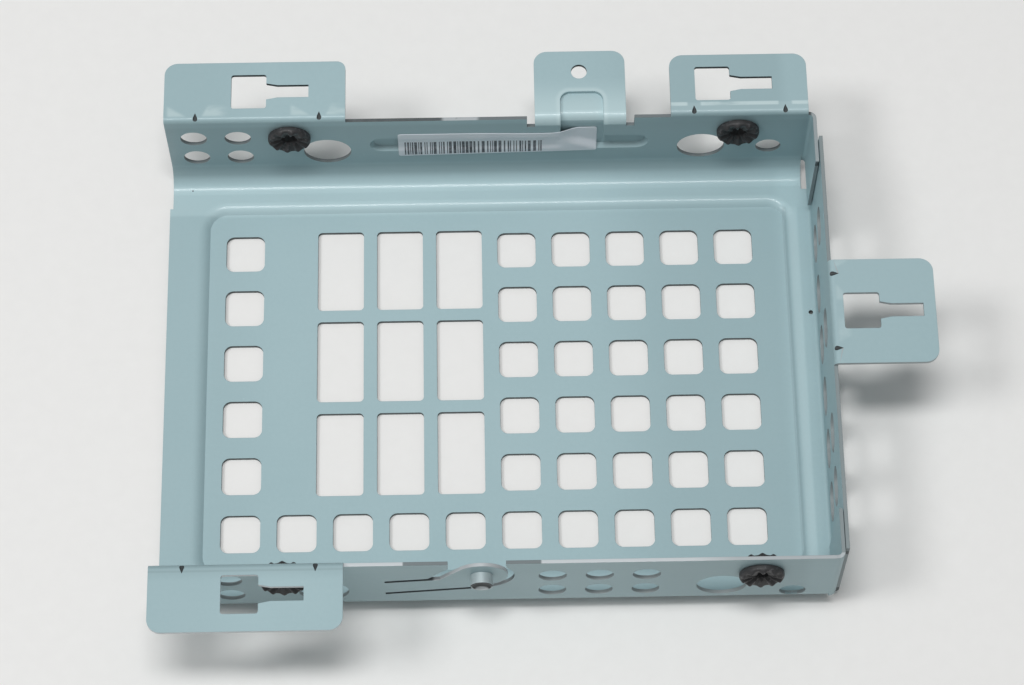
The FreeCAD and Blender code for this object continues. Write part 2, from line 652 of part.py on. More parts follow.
def dart_outline(axis, sign, c_z):
    """Gusset under the bend, seen along the bend."""
    corner = (axis - sign * D.tab_bend, c_z + D.tab_bend)
    return [(corner[0] - sign * 0.3, corner[1] + 0.3),
            (corner[0] + sign * D.dart_web, corner[1] + 0.3),
            (corner[0] + sign * D.dart_web, corner[1]),
            (corner[0], corner[1] - D.dart_web),
            (corner[0] - sign * 0.3, corner[1] - D.dart_web)]


lean = math.radians(D.dart_lean.value)
for name, plane, shift, axis, sign, c_z in (
        ("dart_rl_a", "YZ_Plane", D.dart_rl_a, c_y, 1, rear_z), ("dart_rl_b", "YZ_Plane", D.dart_rl_b, c_y, 1, rear_z),
        ("dart_rr_a", "YZ_Plane", D.dart_rr_a, c_y, 1, rear_z), ("dart_rr_b", "YZ_Plane", D.dart_rr_b, c_y, 1, rear_z),
        ("dart_ft_a", "YZ_Plane", D.dart_ft_a, -c_y, -1, low_z), ("dart_ft_b", "YZ_Plane", D.dart_ft_b, -c_y, -1, low_z),
        ("dart_rt_a", "XZ_Plane", -D.dart_rt_a, c_x, 1, low_z), ("dart_rt_b", "XZ_Plane", -D.dart_rt_b, c_x, 1, low_z)):
    sk = sketch(tray, name + "_web", plane, shift - D.dart_w / 2)
    loop(sk, dart_outline(axis, sign, c_z))
    pad(tray, sk, name + "_gusset", D.dart_w)
    before = tray.Shape.Volume
    groove = tray.newObject("PartDesign::SubtractiveCone", name + "_groove")
    bind(groove, "Radius1", D.dart_r)
    bind(groove, "Radius2", D.dart_point)
    bind(groove, "Height", D.dart_long)
    # the wide end is on the wall's side of the bend and the point runs out on the tab
    wide = (axis - sign * D.dart_in).value
    at_z = (c_z + D.dart_up).value
    if plane == "YZ_Plane":
        at = Vector(shift.value, wide, at_z)
        along = Vector(0, sign * math.cos(lean), math.sin(lean))
    else:
        at = Vector(wide, -shift.value, at_z)
        along = Vector(math.cos(lean), 0, math.sin(lean))
    groove.Placement = Placement(at, Rotation(Vector(0, 0, 1), along))
    tray.Tip = groove
    grew(tray, before, -1, name + "_groove")

# keyholes
for name, x, y in (("key_rear_left", D.key_rl_x, D.key_rl_y), ("key_rear_right", D.key_rr_x, D.key_rr_y),
                   ("key_right", D.key_rt_x, D.key_rt_y), ("key_front", D.key_ft_x, D.key_ft_y)):
    sk = sketch(tray, name + "_plan", "XY_Plane", 35)
    a, b, c = x + D.key_w, x + D.key_w + D.key_lead, x + D.key_w + D.key_slot
    n = D.key_neck / 2
    loop(sk, [(x, y - D.key_d / 2), (a, y - D.key_d / 2), (a, y - n - D.key_flare), (b, y - n), (c, y - n),
              (c, y + n), (b, y + n), (a, y + n + D.key_flare), (a, y + D.key_d / 2), (x, y + D.key_d / 2)])
    pocket(tray, sk, name, 9)
KEYS = []
for x, y in ((D.key_rl_x, D.key_rl_y), (D.key_rr_x, D.key_rr_y), (D.key_rt_x, D.key_rt_y), (D.key_ft_x, D.key_ft_y)):
    for px in (x.value, (x + D.key_w).value):
        for s in (-1, 1):
            KEYS.append((px, y.value + s * D.key_d.value / 2))
round_edges(tray, "key_corners", D.key_round, lambda a, b: upright(a, b, KEYS), 16)

# screw hole
sk = sketch(tray, "screw_hole_plan", "XY_Plane", 35)
circle(sk, D.st_hole_x, D.st_hole_y, D.st_hole_r)
pocket(tray, sk, "screw_hole", 12)

# round holes of the rear and front wall
sk = sketch(tray, "rear_holes_plan", "XZ_Plane", 0.001)
for i in range(2):
    for z in (D.vent_rear_up, D.vent_rear_dn):
        circle(sk, D.vent_x + i * D.vent_dx, z, D.vent_r)
circle(sk, D.big_x, D.big_z, D.big_r)
circle(sk, D.big_xr, D.big_z, D.big_r)
circle(sk, D.far_x, D.far_z, D.far_r)
circle(sk, D.gr_x, D.gr_z, D.gr_hole)
circle(sk, D.gr_x + D.gr_pitch, D.gr_z, D.gr_hole)
pocket(tray, sk, "rear_holes", 56)
sk = sketch(tray, "front_holes_plan", "XZ_Plane", 0.001)
for i in range(2):
    for z in (D.vent_up, D.vent_dn):
        circle(sk, D.vent_x + i * D.vent_dx, z, D.vent_r)
for i in range(3):
    for z in (D.vent_up, D.vent_dn):
        circle(sk, D.vent_fx + i * D.vent_dx, z, D.vent_r)
circle(sk, D.big_x, D.big_z, D.big_r)
circle(sk, D.big_xr, D.big_z, D.big_r)
circle(sk, D.far_x, D.far_zf, D.far_r)
circle(sk, D.gr_x, D.gr_z, D.gr_hole)
circle(sk, D.gr_x + D.gr_pitch, D.gr_z, D.gr_hole)
pocket(tray, sk, "front_holes", 56, reverse=True)

# slotted holes of the right wall
for name, z, step, count in (("side_low", D.ob_low, D.ob_dy, 6),):
    sk = sketch(tray, name + "_first", "YZ_Plane", 80)
    obround(sk, D.ob_y, z, D.ob_w, D.ob_d)
    first = pocket(tray, sk, name + "_hole", 7.2)
    grid(tray, first, name, "Y_Axis", step, count)
sk = sketch(tray, "side_up_plan", "YZ_Plane", 80)
for i in (0, 1, 3, 5):
    obround(sk, D.ob_y + i * D.ob_dy, D.ob_up, D.ob_w, D.ob_d)
pocket(tray, sk, "side_up", 7.2)

# corner reliefs where the bends meet
sk = sketch(tray, "relief_plan", "XY_Plane", D.lap_low)
loop(sk, [(D.walls_right, D.slit_end), (D.walls_right + D.slit_w, D.slit_end),
          (D.walls_right + D.slit_w, out + 1), (D.walls_right, out + 1)])
loop(sk, [(D.walls_right, -D.slit_end), (D.walls_right + D.slit_w, -D.slit_end),
          (D.walls_right + D.slit_w, -out - 1), (D.walls_right, -out - 1)])
pocket(tray, sk, "corner_relief", D.lap_low)

# window of the latch tongue in the front wall
wall_mid = -(D.half_width + D.gauge / 2)
sk = sketch(tray, "tongue_window_plan", "XZ_Plane", D.half_width - 1)
loop(sk, [(D.tng_root, D.tng_low - D.tng_slot), (D.tng_dip_x, D.tng_dip_z - D.tng_slot),
          (D.head_x + 1.2, D.tng_dip_z), (D.gap_right, D.head_z), (D.gap_right, D.front_top + 1),
          (D.gap_left, D.front_top + 1), (D.gap_left, D.gap_z), (D.gap_x, D.gap_foot),
          (D.tng_root, D.tng_high + D.tng_slot)])
pocket(tray, sk, "tongue_window", 3, reverse=True)
sk = sketch(tray, "head_window_plan", "XZ_Plane", D.half_width - 1)
circle(sk, D.head_x, D.head_z, D.bay_r)
pocket(tray, sk, "head_window", 3, reverse=True)
sk = sketch(tray, "root_seat_plan", "XY_Plane", D.tng_low)
circle(sk, D.tng_root, wall_mid, D.gauge / 2 + D.root_gap)
pocket(tray, sk, "root_seat", D.tng_high - D.tng_low, reverse=True)

# square holes of the base: one column, one row and a field
def squares(name, column, rows):
    sk = sketch(tray, name + "_plan", "XY_Plane", 6)
    half = D.sq_side / 2
    x = D.sq_x + column * D.sq_dx
    for row in rows:
        y = D.sq_y + row * D.sq_dy
        rounded(sk, x - half, y - half, x + half, y + half, D.sq_round)
    return pocket(tray, sk, name, 7)


squares("squares_left", 0, range(6))
first = squares("squares_front_first", 1, range(1))
grid(tray, first, "squares_front", "X_Axis", D.sq_dx, 4)
first = squares("squares_field_first", 5, range(6))
grid(tray, first, "squares_field", "X_Axis", D.sq_dx, 5)

# long holes of the base
sk = sketch(tray, "long_plan", "XY_Plane", 6)
for row in range(3):
    y = D.lg_y + row * D.lg_dy
    rounded(sk, D.lg_x - D.lg_w / 2, y - D.lg_d / 2, D.lg_x + D.lg_w / 2, y + D.lg_d / 2, D.lg_round)
first = pocket(tray, sk, "long_first", 7)
grid(tray, first, "long_holes", "X_Axis", D.lg_dx, 3)
sk = sketch(tray, "tooling_hole_plan", "XY_Plane", 6)
circle(sk, D.pin_x, D.pin_y, D.pin_r)
pocket(tray, sk, "tooling_hole", 7)

# ---------------------------------------------------------------- latch tongue
finger = new_body("latch_finger")
sk = sketch(finger, "strip_plan", "XZ_Plane", D.half_width)
loop(sk, [(D.tng_root, D.tng_low), (D.tng_dip_x, D.tng_dip_z), (D.head_x + 1.6, D.head_z - D.head_r + 0.25),
          (D.head_x, D.head_z), (D.head_x - D.head_r * 0.8, D.head_z + D.head_r * 0.6),
          (D.tng_neck_x, D.tng_neck_z), (D.tng_root, D.tng_high)])
pad(finger, sk, "strip", D.gauge)
sk = sketch(finger, "head_plan", "XZ_Plane", D.half_width)
circle(sk, D.head_x, D.head_z, D.head_r)
pad(finger, sk, "head", D.gauge)
sk = sketch(finger, "root_plan", "XY_Plane", D.tng_low)
circle(sk, D.tng_root, wall_mid, D.gauge / 2)
pad(finger, sk, "root", D.tng_high - D.tng_low)
sk = sketch(finger, "rivet_plan", "XZ_Plane", D.half_width - 1)
circle(sk, D.head_x, D.head_z, D.stud_shank)
pocket(finger, sk, "rivet_hole", 3, reverse=True)

# ---------------------------------------------------------------- stud
# turned about its own Z, which points out of the front wall
stud = new_body("latch_stud")
sk = sketch(stud, "turning", "XZ_Plane")
h = D.gauge / 2
top = h + D.stud_out
loop(sk, [(0.0, -h - D.stud_rivet_h), (D.stud_rivet * 0.72, -h - D.stud_rivet_h), (D.stud_rivet, -h),
          (D.stud_shank, -h), (D.stud_shank, h), (D.stud_r, h), (D.stud_r, top - D.stud_lip),
          (D.stud_r - D.stud_lip, top), (D.stud_dish_r, top), (D.stud_dish_r * 0.85, top - D.stud_dish * 0.45),
          (D.stud_dish_r * 0.55, top - D.stud_dish * 0.84), (0.0, top - D.stud_dish)])
rev = stud.newObject("PartDesign::Revolution", "stud_turned")
rev.Profile = sk
rev.ReferenceAxis = (sk, ["V_Axis"])
rev.Angle = 360
stud.Tip = rev
stud.Placement = Placement(Vector(D.head_x.value, wall_mid.value, D.head_z.value), Rotation(Vector(1, 0, 0), 90))
bind(stud, "Placement.Base.x", D.head_x)
bind(stud, "Placement.Base.y", wall_mid)
bind(stud, "Placement.Base.z", D.head_z)

# ---------------------------------------------------------------- grommets
# turned about their own Z, which is the wall's normal; the groove holds the wall


def grommet(label, x, y):
    body = new_body(label)
    sk = sketch(body, label + "_turning", "XZ_Plane")
    half = D.gauge / 2
    face = half + D.gr_disc
    edge = D.gr_flange - 0.35
    loop(sk, [(D.gr_bore, -face), (edge, -face), (D.gr_flange, -face + 0.35), (D.gr_flange, -half),
              (D.gr_hole, -half), (D.gr_hole, half), (D.gr_flange, half), (D.gr_flange, face - 0.35),
              (edge, face), (D.gr_bore, face)])
    turned = body.newObject("PartDesign::Revolution", label + "_turned")
    turned.Profile = sk
    turned.ReferenceAxis = (sk, ["V_Axis"])
    turned.Angle = 360
    body.Tip = turned
    doc.recompute()
    for end, offset, back in (("in", face - 0.2, False), ("out", -face + 0.2, True)):
        sk = sketch(body, "%s_rib_%s" % (label, end), "XY_Plane", offset)
        loop(sk, [(D.gr_core, -D.gr_rib_w / 2), (D.gr_flange - 0.15, -D.gr_rib_w / 2),
                  (D.gr_flange - 0.15, D.gr_rib_w / 2), (D.gr_core, D.gr_rib_w / 2)])
        one = pad(body, sk, "%s_bar_%s" % (label, end), D.gr_rib + 0.2, reverse=back)
        ring = body.newObject("PartDesign::PolarPattern", "%s_bars_%s" % (label, end))
        ring.Originals = [one]
        ring.Axis = (origin_part(body, "Z_Axis"), [""])
        ring.Angle = 360
        bind(ring, "Occurrences", D.gr_count)
        body.Tip = ring
        doc.recompute()
    body.Placement = Placement(Vector(x.value, y.value, D.gr_z.value), Rotation(Vector(1, 0, 0), 90))
    bind(body, "Placement.Base.x", x)
    bind(body, "Placement.Base.y", y)
    bind(body, "Placement.Base.z", D.gr_z)
    return body


grommets = [grommet("grommet_rear_left", D.gr_x, -wall_mid),
            grommet("grommet_rear_right", D.gr_x + D.gr_pitch, -wall_mid),
            grommet("grommet_front_left", D.gr_x, wall_mid),
            grommet("grommet_front_right", D.gr_x + D.gr_pitch, wall_mid)]

# ---------------------------------------------------------------- label
label = new_body("label")
sk = sketch(label, "label_plan", "XZ_Plane")
rounded(sk, -D.lab_w / 2, -D.lab_d / 2, D.lab_w / 2, D.lab_d / 2, 0.6)
pad(label, sk, "label_paper", D.lab_t)
label.Placement = Placement(Vector(D.lab_x.value, D.half_width.value, D.lab_z.value),
                            Rotation(Vector(0, -1, 0), D.lab_tilt.value))
bind(label, "Placement.Base.x", D.lab_x)
bind(label, "Placement.Base.y", D.half_width)
bind(label, "Placement.Base.z", D.lab_z)
bind(label, "Placement.Rotation.Angle", D.lab_tilt)

# ---------------------------------------------------------------- test and write
doc.recompute()
for obj in doc.Objects:
    if "Invalid" in obj.State or "Error" in obj.State:
        raise RuntimeError("%s: %s" % (obj.Label, obj.State))
pieces = [tray, finger, stud] + grommets + [label]
for piece in pieces:
    if piece.Shape.isNull() or not piece.Shape.isValid() or len(piece.Shape.Solids) != 1:
        raise RuntimeError("bad shape: %s, %d solids" % (piece.Label, len(piece.Shape.Solids)))
os.makedirs("parts", exist_ok=True)
for piece in pieces:
    piece.Shape.exportStep("parts/%s.step" % piece.Label)
    box = piece.Shape.BoundBox
    print("%-20s volume %9.2f  x %.2f..%.2f  y %.2f..%.2f  z %.2f..%.2f" % (
        piece.Label, piece.Shape.Volume, box.XMin, box.XMax, box.YMin, box.YMax, box.ZMin, box.ZMax))
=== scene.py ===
import bpy, bmesh, math, random
import numpy as np
from mathutils import Matrix, Vector
from mathutils.bvhtree import BVHTree


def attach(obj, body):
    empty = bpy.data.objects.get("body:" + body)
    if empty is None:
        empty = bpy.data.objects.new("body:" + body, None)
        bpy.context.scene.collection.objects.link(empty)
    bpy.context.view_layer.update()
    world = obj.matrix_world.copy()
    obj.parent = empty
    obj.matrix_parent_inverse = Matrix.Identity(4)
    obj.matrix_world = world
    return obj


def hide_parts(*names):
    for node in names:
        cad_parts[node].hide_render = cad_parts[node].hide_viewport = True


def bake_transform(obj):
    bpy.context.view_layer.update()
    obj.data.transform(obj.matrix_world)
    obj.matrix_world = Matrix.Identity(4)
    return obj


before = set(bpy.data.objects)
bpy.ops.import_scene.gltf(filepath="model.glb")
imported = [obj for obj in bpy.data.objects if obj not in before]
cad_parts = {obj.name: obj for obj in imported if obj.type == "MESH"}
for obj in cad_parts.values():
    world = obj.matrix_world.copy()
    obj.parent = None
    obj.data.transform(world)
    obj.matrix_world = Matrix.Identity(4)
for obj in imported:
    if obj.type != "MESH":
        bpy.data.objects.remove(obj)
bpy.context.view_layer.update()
scene = bpy.context.scene
MM = 0.001


# ------------------------------------------------------------------ camera
cam_data = bpy.data.cameras.new("camera")
cam_data.sensor_fit = "HORIZONTAL"
cam_data.sensor_width = 36.0
cam_data.lens = 109.934
cam_data.clip_start = 0.01
cam_data.clip_end = 20.0
camera = bpy.data.objects.new("camera", cam_data)
scene.collection.objects.link(camera)
right = Vector((0.999846, -0.017568, -0.000474))
ahead = Vector((0.006891, 0.416731, -0.909004)).normalized()
up = right.cross(ahead).normalized()
right = ahead.cross(up).normalized()
camera.matrix_world = Matrix((
    (right.x, up.x, -ahead.x, -0.000927),
    (right.y, up.y, -ahead.y, -0.285360),
    (right.z, up.z, -ahead.z, 0.644265),
    (0, 0, 0, 1)))
scene.camera = camera
scene.view_settings.view_transform = "Standard"
scene.view_settings.look = "None"


# ------------------------------------------------------------------ node helpers
class Tree:
    def __init__(self, name):
        self.mat = bpy.data.materials.new(name)
        self.mat.use_nodes = True
        self.tree = self.mat.node_tree
        self.tree.nodes.clear()
        self.out = self.add("ShaderNodeOutputMaterial")

    def add(self, kind, **props):
        node = self.tree.nodes.new(kind)
        for key, value in props.items():
            setattr(node, key, value)
        return node

    def link(self, a, b):
        self.tree.links.new(a, b)

    def put(self, socket, value):
        """A link if value is a socket, else a constant on the socket itself."""
        if isinstance(value, bpy.types.NodeSocket):
            self.link(value, socket)
        else:
            socket.default_value = value

    def math(self, op, a, b=0.0, c=0.0, clamp=False):
        node = self.add("ShaderNodeMath", operation=op, use_clamp=clamp)
        for socket, value in zip(node.inputs, (a, b, c)):
            self.put(socket, value)
        return node.outputs[0]

    def ramp(self, value, low, high, to_low=0.0, to_high=1.0, smooth=True):
        node = self.add("ShaderNodeMapRange")
        node.interpolation_type = "SMOOTHSTEP" if smooth else "LINEAR"
        for i, x in enumerate((value, low, high, to_low, to_high)):
            self.put(node.inputs[i], x)
        return node.outputs[0]

    def times(self, *values):
        out = values[0]
        for value in values[1:]:
            out = self.math("MULTIPLY", out, value)
        return out

    def band(self, value, a, b, soft):
        """1 between a and b, fading to 0 over soft outside them."""
        return self.times(self.ramp(value, a - soft, a), self.ramp(value, b, b + soft, 1.0, 0.0))

    def mix(self, fac, a, b):
        node = self.add("ShaderNodeMix", data_type="RGBA")
        self.put(node.inputs[0], fac)
        self.put(node.inputs[6], a)
        self.put(node.inputs[7], b)
        return node.outputs[2]

    def object_place(self):
        if not hasattr(self, "coord"):
            self.coord = self.add("ShaderNodeTexCoord")
        return self.coord.outputs["Object"]

    def place(self, scale=(1, 1, 1), location=(0, 0, 0)):
        node = self.add("ShaderNodeMapping")
        node.inputs["Scale"].default_value = scale
        node.inputs["Location"].default_value = location
        self.link(self.object_place(), node.inputs[0])
        return node.outputs[0]

    def xyz(self):
        node = self.add("ShaderNodeSeparateXYZ")
        self.link(self.object_place(), node.inputs[0])
        return node.outputs

    def near(self, point, radius, soft):
        """1 inside a ball about the point."""
        node = self.add("ShaderNodeVectorMath", operation="DISTANCE")
        self.link(self.object_place(), node.inputs[0])
        node.inputs[1].default_value = point
        return self.ramp(node.outputs["Value"], radius, radius + soft, 1.0, 0.0)

    def noise(self, vector, scale, detail=3.0, rough=0.5):
        node = self.add("ShaderNodeTexNoise")
        self.link(vector, node.inputs["Vector"])
        node.inputs["Scale"].default_value = scale
        node.inputs["Detail"].default_value = detail
        node.inputs["Roughness"].default_value = rough
        return node.outputs["Fac"]

    def bump(self, height, strength, distance, normal=None):
        node = self.add("ShaderNodeBump")
        node.inputs["Strength"].default_value = strength
        node.inputs["Distance"].default_value = distance
        self.link(height, node.inputs["Height"])
        if normal is not None:
            self.link(normal, node.inputs["Normal"])
        return node.outputs[0]

    def soft_edges(self, radius):
        node = self.add("ShaderNodeBevel", samples=4)
        node.inputs["Radius"].default_value = radius
        return node.outputs[0]

    def surface(self, color, rough, metallic=0.0, normal=None, **constants):
        bsdf = self.add("ShaderNodeBsdfPrincipled")
        self.put(bsdf.inputs["Base Color"], color)
        self.put(bsdf.inputs["Roughness"], rough)
        self.put(bsdf.inputs["Metallic"], metallic)
        if normal is not None:
            self.link(normal, bsdf.inputs["Normal"])
        for key, value in constants.items():
            bsdf.inputs[key.replace("_", " ")].default_value = value
        self.link(bsdf.outputs[0], self.out.inputs["Surface"])
        return self.mat


# ------------------------------------------------------------------ materials
REAR_DARTS = (-66.4, -38.6, 45.7, 66.2)
FRONT_DARTS = (-66.4, -38.4)
RIGHT_DARTS = (12.17, -5.73)
# each dart: the middle of its wide end and its direction in plan, in mm
DARTS = ([((x, 53.20, 28.15), (0, 1)) for x in REAR_DARTS]
         + [((x, -53.20, 29.25), (0, -1)) for x in FRONT_DARTS]
         + [((73.50, y, 29.25), (1, 0)) for y in RIGHT_DARTS])


def press_marks(t, along, darts, out):
    """Burnished patches on a tab: a wedge before each dart and a wider patch after it, out is measured from the wall."""
    total = 0.0
    for dart in darts:
        after = t.math("SUBTRACT", along, dart * MM)
        before = t.math("MULTIPLY", after, -1.0)
        top = t.ramp(before, 0.0018, 0.0063, 0.0012, 0.0042, smooth=False)
        wedge = t.times(t.band(before, 0.0024, 0.0058, 0.0010),
                        t.ramp(t.math("SUBTRACT", out, top), -0.0007, 0.0004, 1.0, 0.0))
        start = t.ramp(out, 0.0012, 0.0040, 0.0013, 0.0026, smooth=False)
        patch = t.times(t.ramp(after, 0.0050, 0.0080, 1.0, 0.0), t.ramp(out, 0.0034, 0.0046, 1.0, 0.0),
                        t.ramp(t.math("SUBTRACT", after, start), -0.0003, 0.0006))
        total = t.math("MAXIMUM", total, t.math("MAXIMUM", wedge, patch))
    return t.times(total, t.ramp(out, 0.0009, 0.0018))


def plated_steel():
    """Satin zinc plating: fine grain, faint clouds, press marks beside the tab bends."""
    t = Tree("plated_steel")
    here = t.place()
    cloud = t.noise(here, 26.0, 3.0, 0.55)
    grain = t.noise(here, 1100.0, 2.0, 0.5)
    rolled = t.noise(t.place((70, 2200, 2200)), 1.0, 2.0, 0.6)
    tone = t.math("ADD", t.times(cloud, 0.6), t.times(grain, 0.4))
    color = t.mix(t.ramp(tone, 0.3, 0.7), (0.325, 0.462, 0.492, 1), (0.355, 0.492, 0.522, 1))
    x, y, z = t.xyz()
    # painted light: the steel is lighter towards the rear, less so high up on the walls and tabs
    painted_rear_light = t.ramp(y, -0.060, 0.060, 0.0, 1.0, smooth=False)
    color = t.mix(t.times(painted_rear_light, t.ramp(z, 0.0180, 0.0240, 0.45, 0.27)), color, (0.415, 0.570, 0.605, 1))
    # painted shade: darker at both ends of the tray and on the rear wall
    wall = t.times(t.ramp(y, 0.0480, 0.0515), t.ramp(z, 0.0023, 0.0050), t.ramp(z, 0.0240, 0.0254, 1.0, 0.0))
    ends = t.math("MAXIMUM", t.times(t.ramp(x, 0.0180, 0.0450), t.ramp(x, 0.0640, 0.0675, 0.36, 0.10)),
                  t.ramp(x, -0.0640, -0.0480, 0.16, 0.0))
    color = t.mix(t.times(ends, t.math("SUBTRACT", 1.0, wall)), color, (0.24, 0.345, 0.370, 1))
    color = t.mix(t.times(wall, 0.28), color, (0.20, 0.285, 0.305, 1))
    # painted shade in the crease where the rear wall bends into the base
    crease = t.times(t.ramp(y, 0.0480, 0.0515), t.band(z, 0.0042, 0.0056, 0.0012))
    color = t.mix(t.times(crease, 0.26), color, (0.15, 0.215, 0.230, 1))
    # painted highlight on the rear rim, most at its left end
    rim = t.times(t.band(y, 0.0430, 0.0492, 0.0010), t.ramp(z, 0.0026, 0.0034, 1.0, 0.0),
                  t.ramp(x, -0.0300, 0.0200, 0.32, 0.14))
    color = t.mix(rim, color, (0.53, 0.69, 0.72, 1))
    # painted shade along the pan's right foot and a painted highlight on the slope above it
    pan = t.times(t.band(y, -0.0440, 0.0420, 0.0010), t.ramp(z, 0.0026, 0.0034, 1.0, 0.0))
    color = t.mix(t.times(pan, t.band(x, 0.0669, 0.0675, 0.0003), 0.24), color, (0.16, 0.23, 0.25, 1))
    color = t.mix(t.times(pan, t.band(x, 0.0684, 0.0698, 0.0007), 0.22), color, (0.56, 0.71, 0.735, 1))
    back = t.math("SUBTRACT", y, 0.0530)
    side = t.math("SUBTRACT", x, 0.0733)
    front = t.math("SUBTRACT", t.math("MULTIPLY", y, -1.0), 0.0530)
    streak = t.ramp(t.noise(t.place((90, 260, 90)), 1.0, 3.0, 0.6), 0.30, 0.58)
    marks = t.math("MAXIMUM",
                   t.times(t.ramp(z, 0.0270, 0.0274), press_marks(t, x, REAR_DARTS[:2], back)),
                   t.times(t.ramp(z, 0.0281, 0.0285), press_marks(t, y, RIGHT_DARTS, side), 0.5))
    color = t.mix(t.times(marks, streak, 0.55), color, (0.56, 0.69, 0.70, 1))
    # on the rear right tab they run together in a line, broken at the darts
    gap = t.math("MINIMUM", *(t.math("ABSOLUTE", t.math("SUBTRACT", x, d * MM)) for d in REAR_DARTS[2:]))
    there = t.times(t.ramp(z, 0.0268, 0.0272), t.ramp(x, 0.0402, 0.0408))
    line = t.times(there, t.band(back, 0.0023, 0.0029, 0.0003), t.ramp(gap, 0.0012, 0.0018), streak)
    color = t.mix(t.times(there, t.band(back, 0.0008, 0.0026, 0.0006), 0.22), color, (0.50, 0.63, 0.65, 1))
    color = t.mix(t.times(line, 0.65), color, (0.62, 0.75, 0.76, 1))
    # painted shade: the front tab darkens towards its bend, with a darker line along a faint crease
    high = t.times(t.ramp(z, 0.0277, 0.0280), t.ramp(front, 0.0, 0.0002))
    color = t.mix(t.times(high, t.ramp(front, 0.0006, 0.0045, 1.0, 0.0), 0.30), color, (0.20, 0.29, 0.31, 1))
    color = t.mix(t.times(high, t.band(front, 0.00165, 0.00185, 0.00025), 0.22), color, (0.16, 0.22, 0.23, 1))
    # painted highlight on the screw tab towards its bend and around the rib
    screw = t.times(t.band(x, 0.0100, 0.0304, 0.0004), t.band(z, 0.0235, 0.0256, 0.0003), t.ramp(y, 0.0525, 0.0529))
    color = t.mix(t.times(screw, t.ramp(y, 0.0545, 0.0650, 0.9, 0.0)), color, (0.49, 0.64, 0.665, 1))
    # distance outward from the rib's rounded outline
    dx = t.math("MAXIMUM", t.math("SUBTRACT", t.math("ABSOLUTE", t.math("SUBTRACT", x, 0.02055)), 0.00265), 0.0)
    dy = t.math("MAXIMUM", t.math("SUBTRACT", y, 0.05825), 0.0)
    away = t.math("SUBTRACT", t.math("SQRT", t.math("ADD", t.times(dx, dx), t.times(dy, dy))), 0.0022)
    # painted highlight in a narrow ring just outside the rib's outline
    rib_ring_highlight = t.times(screw, t.ramp(away, 0.0, 0.0004), t.ramp(away, 0.0004, 0.0014, 1.0, 0.0))
    color = t.mix(t.times(rib_ring_highlight, 0.42), color, (0.60, 0.74, 0.755, 1))
    # one dark speck on the rear rim
    color = t.mix(t.near((-0.0691, 0.0489, 0.0019), 0.00018, 0.00012), color, (0.10, 0.12, 0.13, 1))
    # thin scratches
    scratch = t.ramp(t.noise(t.place((30, 900, 900)), 1.0, 4.0, 0.75), 0.70, 0.78)
    color = t.mix(t.times(scratch, 0.25), color, (0.46, 0.58, 0.60, 1))
    rough = t.ramp(t.math("ADD", t.times(grain, 0.5), t.times(rolled, 0.5)), 0.25, 0.75, 0.54, 0.62)
    normal = t.bump(t.math("ADD", grain, t.times(rolled, 0.6)), 0.08, 0.00003, t.soft_edges(0.00013))
    return t.surface(color, rough, 0.12, normal, Coat_Weight=0.20, Coat_Roughness=0.11)


